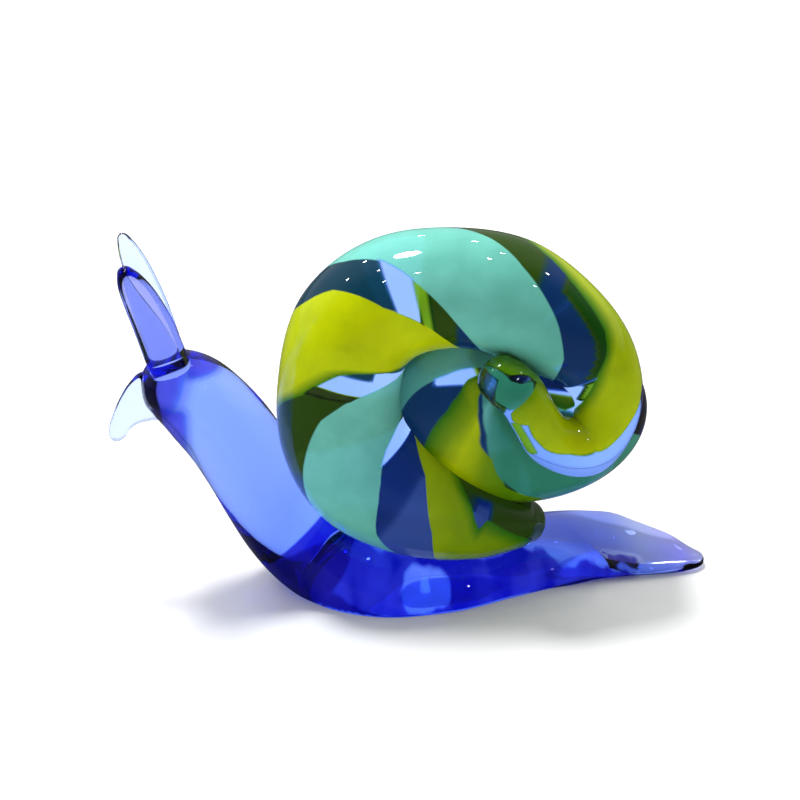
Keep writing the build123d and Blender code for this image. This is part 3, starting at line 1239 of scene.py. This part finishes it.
@dataclass(frozen=True)
class Hub:
    """The domed hub that the cane is wound over, which leans back to face the camera.

    Attributes:
        segments: How many edges each ring has.
        rings: How many rings it has.
        middle: Its middle, in millimetres.
        half_width: Half of its width, in millimetres.
        half_height: Half of its height, in millimetres.
        half_depth: Half of its depth from pole to pole, in millimetres.
        lean: How far its near pole is lifted, in degrees.
        turn: How far its near pole is turned towards the head, in degrees.
        pole_shift: How far that pole lies off the middle towards the head, in millimetres.
        pole_rise: How far it lies above the middle, in millimetres.
        turquoise: For each turquoise stripe its two edges, as angles round the near pole
            against the angle from it, in degrees.
        chartreuse: The same for the chartreuse stripes.
        tones: How bright the stripes are round the pole: painted shade, darkest on the hub's lower
            side.
        veils: The patches of painted shade for the far side's stripes seen through the glass.
    """

    segments: int = 120
    rings: int = 70
    middle: tuple[float, float, float] = (12.2, -0.4, 22.9)
    half_width: float = 17.0
    half_height: float = 11.5
    half_depth: float = 9.0
    lean: float = 27.0
    turn: float = 6.0
    pole_shift: float = 1.1
    pole_rise: float = 2.5
    turquoise: tuple[tuple[Table, Table], ...] = (
        (
            ((0, 60), (23, 88), (37, 110), (48, 125), (90, 150), (180, 200)),
            (
                (0, 80), (15, 130), (18, 141), (21, 151), (24, 160), (28, 167), (36, 178),
                (48, 194), (70, 206), (180, 280),
            ),
        ),
        (
            (
                (0, 140), (10, 232), (16, 248), (29, 260), (44, 264), (56, 267), (67, 272),
                (180, 326),
            ),
            ((0, 290), (30, 333), (90, 342), (140, 337), (180, 336)),
        ),
    )
    chartreuse: tuple[tuple[Table, Table], ...] = (
        (
            ((0, 100), (13, 156), (17, 198), (26, 214), (37, 220), (60, 230), (180, 300)),
            (
                (0, 130), (10, 204), (15, 229), (23, 243), (28, 249), (36, 252.5), (41, 258),
                (45, 262.5), (56, 265.5), (67, 270), (180, 345),
            ),
        ),
        (
            ((0, 330), (30, 334), (50, 400), (120, 440), (180, 445)),
            ((0, 345), (30, 349), (50, 430), (110, 470), (180, 480)),
        ),
    )
    # Painted shade: the stripes darken on the hub's lower side
    tones: Table = (
        (0, 0.4), (100, 0.75), (165, 0.7), (190, 0.5), (215, 0.42), (235, 0.4), (246, 0.85),
        (254, 0.6), (260, 0.3), (270, 0.15), (330, 0.15), (360, 0.4),
    )
    # Painted shade on the clear glass for the far side's stripes seen through it
    veils: tuple[Veil, ...] = (
        Veil(8, 75, 179, 270, 0.15),
        Veil(29, 75, 158, 270, 0.15),
        Veil(0, 42, -3, 80, 0.1),
    )

    # How far the first and the last ring lie from their poles, in degrees
    POLE_GAP = 1.0

    def matrix(self, angle: float) -> Matrix:
        """Places one ring.

        Args:
            angle: How far it lies from the near pole, in degrees.

        Returns:
            The ring's matrix.
        """
        lean, turn = math.radians(self.lean), math.radians(self.turn)
        level = math.cos(lean)
        axis = Vector((-math.sin(turn) * level, -math.cos(turn) * level, math.sin(lean)))
        across = Vector((math.cos(turn), -math.sin(turn), 0))
        up = axis.cross(across)
        out, size = math.cos(math.radians(angle)), math.sin(math.radians(angle))
        middle = Vector(self.middle) + axis * (out * self.half_depth)
        middle = middle + up * (out * self.pole_rise) - across * (out * self.pole_shift)
        return ring(across * (size * self.half_width), up * (size * self.half_height), axis, middle)

    def radius(self, angle: float) -> float:
        """Gives a ring's radius in millimetres, at an angle from the near pole in degrees."""
        return self.half_height * math.sin(math.radians(angle))

    def distances(self, angle: float, place: float) -> tuple[float, float, float]:
        """Measures how far inside the stripes a point lies.

        Args:
            angle: The point's angle from the near pole, in degrees.
            place: Its angle round the pole, in degrees.

        Returns:
            The distances to the edges of the two kinds of stripe in millimetres, and the
            distance to the painted shaded edge of the second kind.
        """
        found = []
        for stripes in (self.turquoise, self.chartreuse):
            inside = []
            for start, stop in stripes:
                low, high = linear(start, angle), linear(stop, angle)
                away = (place - (low + high) / 2 + 180) % 360 - 180
                inside.append(((high - low) / 2 - abs(away), (high - low) / 2 + away))
            found.append([math.radians(value) * self.radius(angle) for value in max(inside)])
        return (found[0][0], found[1][0], found[1][1])

    def build(self) -> bpy.types.Object:
        """Skins the hub and maps its stripes.

        Returns:
            The closed solid.
        """
        step = (180 - 2 * self.POLE_GAP) / (self.rings - 1)
        angles = [self.POLE_GAP + step * number for number in range(self.rings)]
        matrices = [self.matrix(angle) for angle in angles]
        hub = skin("hub", matrices, self.segments)
        pace = math.radians(self.half_height)
        stripes, tones, veils = [], [], []
        for number, vertex in enumerate(hub.data.vertices):
            angle = angles[number // self.segments]
            local = matrices[number // self.segments].inverted() @ vertex.co
            place = math.degrees(math.atan2(local.y, local.x))
            first, second, edge = self.distances(angle, place)
            stripes.append((first, second))
            tones.append((linear(self.tones, place % 360), edge))
            veils.append(Veil.read(self.veils, angle, place, pace, self.radius(angle)))
        write_map(hub, "stripes", stripes)
        write_map(hub, "tones", tones)
        write_map(hub, "veils", veils)
        return hub


@dataclass(frozen=True)
class Shell:
    """The shell, whose cane and hub are fused into one glass.

    Attributes:
        glass: What it is made of.
        cane: The cane.
        hub: The hub.
    """

    glass: StripedGlass
    cane: Cane
    hub: Hub

    def build(self) -> bpy.types.Object:
        """Joins the cane to the hub.

        Returns:
            The finished piece.
        """
        shell = self.cane.build()
        carve(shell, self.hub.build(), "UNION")
        shell.data.shade_smooth()
        shell.data.set_sharp_from_angle(angle=CREASE)
        shell.name = "shell_glass"
        return shell

    def dress(self, piece: bpy.types.Object) -> None:
        """Gives the finished piece its glass, in the place of every solid of the shell."""
        nodes = [name for name in frame["nodes"] if name.startswith("shell_")]
        coat(piece, self.glass, nodes)


@dataclass(frozen=True)
class Lamp:
    """A lamp that faces the figurine.

    Attributes:
        name: What it is called.
        place: Where it stands, in metres.
        size: The width of its disc, in metres.
        power: Its power, in watts.
    """

    name: str
    place: tuple[float, float, float]
    size: float = 0.025
    power: float = 0.15

    # The middle of the figurine, in metres
    AIM = Vector((0.0, 0.0, 0.02))

    def build(self) -> None:
        """Adds the lamp, aimed at the middle of the figurine."""
        data = bpy.data.lights.new(self.name, "AREA")
        data.shape = "DISK"
        data.size = self.size
        data.energy = self.power
        lamp = bpy.data.objects.new(self.name, data)
        lamp.location = self.place
        aim = self.AIM - Vector(self.place)
        lamp.rotation_euler = aim.to_track_quat("-Z", "Y").to_euler()
        bpy.context.scene.collection.objects.link(lamp)


@dataclass(frozen=True)
class Studio:
    """The pale floor, the light and the camera.

    Attributes:
        lamps: The soft box, which makes the shell's long highlight, and the small ceiling
            lamps, which make the points of light beside it.
        room: The strength of the sky behind the camera.
        backdrop: Its strength behind the figurine.
        mirrored_sky: How much of it the glass mirrors.
        paper: The floor's colour, as an sRGB code.
        mirrored_paper: The colour that the glass mirrors of it.
        paper_lift: What is added to the floor where it is seen, so that it is white.
        painted_glow: Painted light: an emission on the floor under the figurine, seen only through
            the glass, in place of the light that the glass focuses there.
        painted_glow_half: Half the length and half the width of that painted light, in metres.
        painted_glow_range: Where it sets in and where it is whole, as shares of those.
        camera_at: Where the camera stands, in millimetres.
        camera_target: What it looks at, in millimetres.
        lens: Its focal length, in millimetres.
        sensor: The width of its sensor, in millimetres.
        floor_half: Half of the floor's side, in metres.
        floor_drop: How far the floor lies under the sole, in millimetres.
    """

    lamps: tuple[Lamp, ...] = (
        Lamp("soft_box", (-0.15, 0.12, 0.72), 0.15, 3.8),
        Lamp("ceiling_1", (0.00, 0.64, 0.48)),
        Lamp("ceiling_2", (0.14, 0.44, 0.66)),
        Lamp("ceiling_3", (0.24, 0.17, 0.74)),
        Lamp("ceiling_4", (0.15, -0.06, 0.78)),
        Lamp("ceiling_5", (0.41, -0.41, 0.55)),
        Lamp("ceiling_6", (-0.14, -0.40, 0.68)),
        Lamp("ceiling_7", (-0.37, -0.08, 0.70)),
        Lamp("ceiling_8", (-0.40, 0.34, 0.61)),
        Lamp("ceiling_9", (-0.54, 0.14, 0.56)),
        Lamp("ceiling_10", (0.54, 0.04, 0.58)),
        Lamp("ceiling_11", (-0.34, -0.38, 0.62)),
    )
    room: float = 0.18
    backdrop: float = 1.1
    mirrored_sky: float = 0.35
    paper: str = "F4F4F4"
    mirrored_paper: str = "595959"
    paper_lift: float = 0.04
    painted_glow: float = 0.5
    painted_glow_half: tuple[float, float] = (0.036, 0.016)
    painted_glow_range: tuple[float, float] = (1.25, 0.7)
    camera_at: tuple[float, float, float] = (-33.04, -298.72, 178.16)
    camera_target: tuple[float, float, float] = (-0.44, 11.43, 19.27)
    lens: float = 126.0
    sensor: float = 36.0
    floor_half: float = 3.0
    floor_drop: float = 0.04

    # Half the height of the stretch over which the sky goes from room to backdrop
    HORIZON = 0.35
    # A sweep of matt white paper: it mirrors nothing
    PAPER_ROUGHNESS = 0.9

    def build(self) -> None:
        """Makes the floor, the sky, the lamps and the camera."""
        self.build_floor()
        self.build_sky()
        for lamp in self.lamps:
            lamp.build()
        camera = bpy.data.objects.new("camera", bpy.data.cameras.new("camera"))
        camera.data.lens = self.lens
        camera.data.sensor_width = self.sensor
        camera.data.clip_start = 0.01
        camera.location = Vector(self.camera_at) * MM
        aim = (Vector(self.camera_target) - Vector(self.camera_at)) * MM
        camera.rotation_euler = aim.to_track_quat("-Z", "Y").to_euler()
        bpy.context.scene.collection.objects.link(camera)
        bpy.context.scene.camera = camera

    @staticmethod
    def sort_rays(tree: bpy.types.NodeTree) -> tuple[bpy.types.Node, bpy.types.Node]:
        """Tells the rays that glass mirrors from those that it lets through.

        Args:
            tree: The tree of the floor or of the sky.

        Returns:
            The kinds of rays, and a node that is one for mirrored rays and nought for others.
        """
        rays = node(tree, "ShaderNodeLightPath")
        mirrored = node(
            tree,
            "ShaderNodeMath",
            {"operation": "SUBTRACT", "use_clamp": True},
            {0: rays.outputs["Is Glossy Ray"], 1: rays.outputs["Is Transmission Ray"]},
        )
        return rays, mirrored

    def build_floor(self) -> None:
        """Makes the floor, a white paper sweep seen as far as the view reaches."""
        mesh = bmesh.new()
        bmesh.ops.create_grid(mesh, x_segments=1, y_segments=1, size=self.floor_half)
        bmesh.ops.translate(mesh, verts=mesh.verts, vec=(0.0, 0.0, -self.floor_drop * MM))
        floor = settle("floor", mesh)
        paper = bpy.data.materials.new("white_paper")
        paper.use_nodes = True
        tree = paper.node_tree
        shader = tree.nodes["Principled BSDF"]
        shader.inputs["Roughness"].default_value = self.PAPER_ROUGHNESS
        shader.inputs["Specular IOR Level"].default_value = 0.0
        shader.inputs["Emission Color"].default_value = (1.0, 1.0, 1.0, 1.0)
        rays, mirrored = self.sort_rays(tree)
        tone = node(
            tree,
            "ShaderNodeMix",
            {"data_type": "RGBA", 6: colour(self.paper), 7: colour(self.mirrored_paper)},
            {0: mirrored.outputs["Value"]},
        )
        tree.links.new(tone.outputs[2], shader.inputs["Base Color"])
        seen = node(
            tree,
            "ShaderNodeMath",
            {"operation": "MAXIMUM"},
            {0: rays.outputs["Is Camera Ray"], 1: rays.outputs["Is Transmission Ray"]},
        )
        lift = node(
            tree,
            "ShaderNodeMapRange",
            {"To Max": self.paper_lift},
            {"Value": seen.outputs["Value"]},
        )
        # Painted light: an emission under the figurine, seen only through the glass, for the light
        # that the glass focuses on the floor
        where = node(tree, "ShaderNodeTexCoord")
        shares = node(
            tree,
            "ShaderNodeMapping",
            {"Scale": (1 / self.painted_glow_half[0], 1 / self.painted_glow_half[1], 0.0)},
            {"Vector": where.outputs["Object"]},
        )
        away = node(
            tree, "ShaderNodeVectorMath", {"operation": "LENGTH"}, {0: shares.outputs["Vector"]}
        )
        under = node(
            tree,
            "ShaderNodeMapRange",
            {
                "interpolation_type": "SMOOTHSTEP",
                "From Min": self.painted_glow_range[0],
                "From Max": self.painted_glow_range[1],
                "To Max": self.painted_glow,
            },
            {"Value": away.outputs["Value"]},
        )
        lift_and_glow = node(
            tree,
            "ShaderNodeMath",
            {"operation": "MULTIPLY_ADD"},
            {
                0: under.outputs["Result"],
                1: rays.outputs["Is Transmission Ray"],
                2: lift.outputs["Result"],
            },
        )
        tree.links.new(lift_and_glow.outputs["Value"], shader.inputs["Emission Strength"])
        floor.data.materials.append(paper)

    def build_sky(self) -> None:
        """Makes a bright backdrop behind the figurine and a dim room behind the camera."""
        world = bpy.data.worlds.new("studio")
        bpy.context.scene.world = world
        world.use_nodes = True
        tree = world.node_tree
        place = node(tree, "ShaderNodeTexCoord")
        split = node(tree, "ShaderNodeSeparateXYZ", links={"Vector": place.outputs["Generated"]})
        light = node(
            tree,
            "ShaderNodeMapRange",
            {
                "interpolation_type": "SMOOTHSTEP",
                "From Min": -self.HORIZON,
                "From Max": self.HORIZON,
                "To Min": self.room,
                "To Max": self.backdrop,
            },
            {"Value": split.outputs["Y"]},
        )
        _, mirrored = self.sort_rays(tree)
        share = node(
            tree,
            "ShaderNodeMapRange",
            {"To Min": 1.0, "To Max": self.mirrored_sky},
            {"Value": mirrored.outputs["Value"]},
        )
        strength = node(
            tree,
            "ShaderNodeMath",
            {"operation": "MULTIPLY"},
            {0: light.outputs["Result"], 1: share.outputs["Result"]},
        )
        back = tree.nodes["Background"]
        back.inputs["Color"].default_value = (1.0, 1.0, 1.0, 1.0)
        tree.links.new(strength.outputs["Value"], back.inputs["Strength"])


def main() -> None:
    """Builds the figurine and the studio."""
    logging.basicConfig(level=logging.INFO)
    bpy.context.scene.view_settings.view_transform = "Standard"

    shell = Shell(StripedGlass("striped_soda_glass", "30A8FD", 98.0), Cane(), Hub())
    shell_piece = shell.build()
    LOG.info("shell: cane and hub fused, %d faces", len(shell_piece.data.polygons))

    feelers = (
        # The near feeler's deeper tint stands partly for its greater thickness and partly is
        # painted shade
        Feeler(Side.LEFT, half_width=2.4, half_thickness=1.6, depth=0.36),
        Feeler(Side.RIGHT, half_width=1.9, half_thickness=0.9, depth=0.12),
    )
    body = Body(ShadeTintedGlass("periwinkle_soda_glass", "2798FD", 150.0), feelers, MouthFlap())
    body_piece = body.build(shell.cane.seat(SEAT_GAP))
    LOG.info("body: feelers and flap fused on, %d faces", len(body_piece.data.polygons))

    body.dress(body_piece)
    shell.dress(shell_piece)
    Studio().build()
    LOG.info("studio: floor, sky, lamps and camera")


if __name__ == "__main__":
    main()
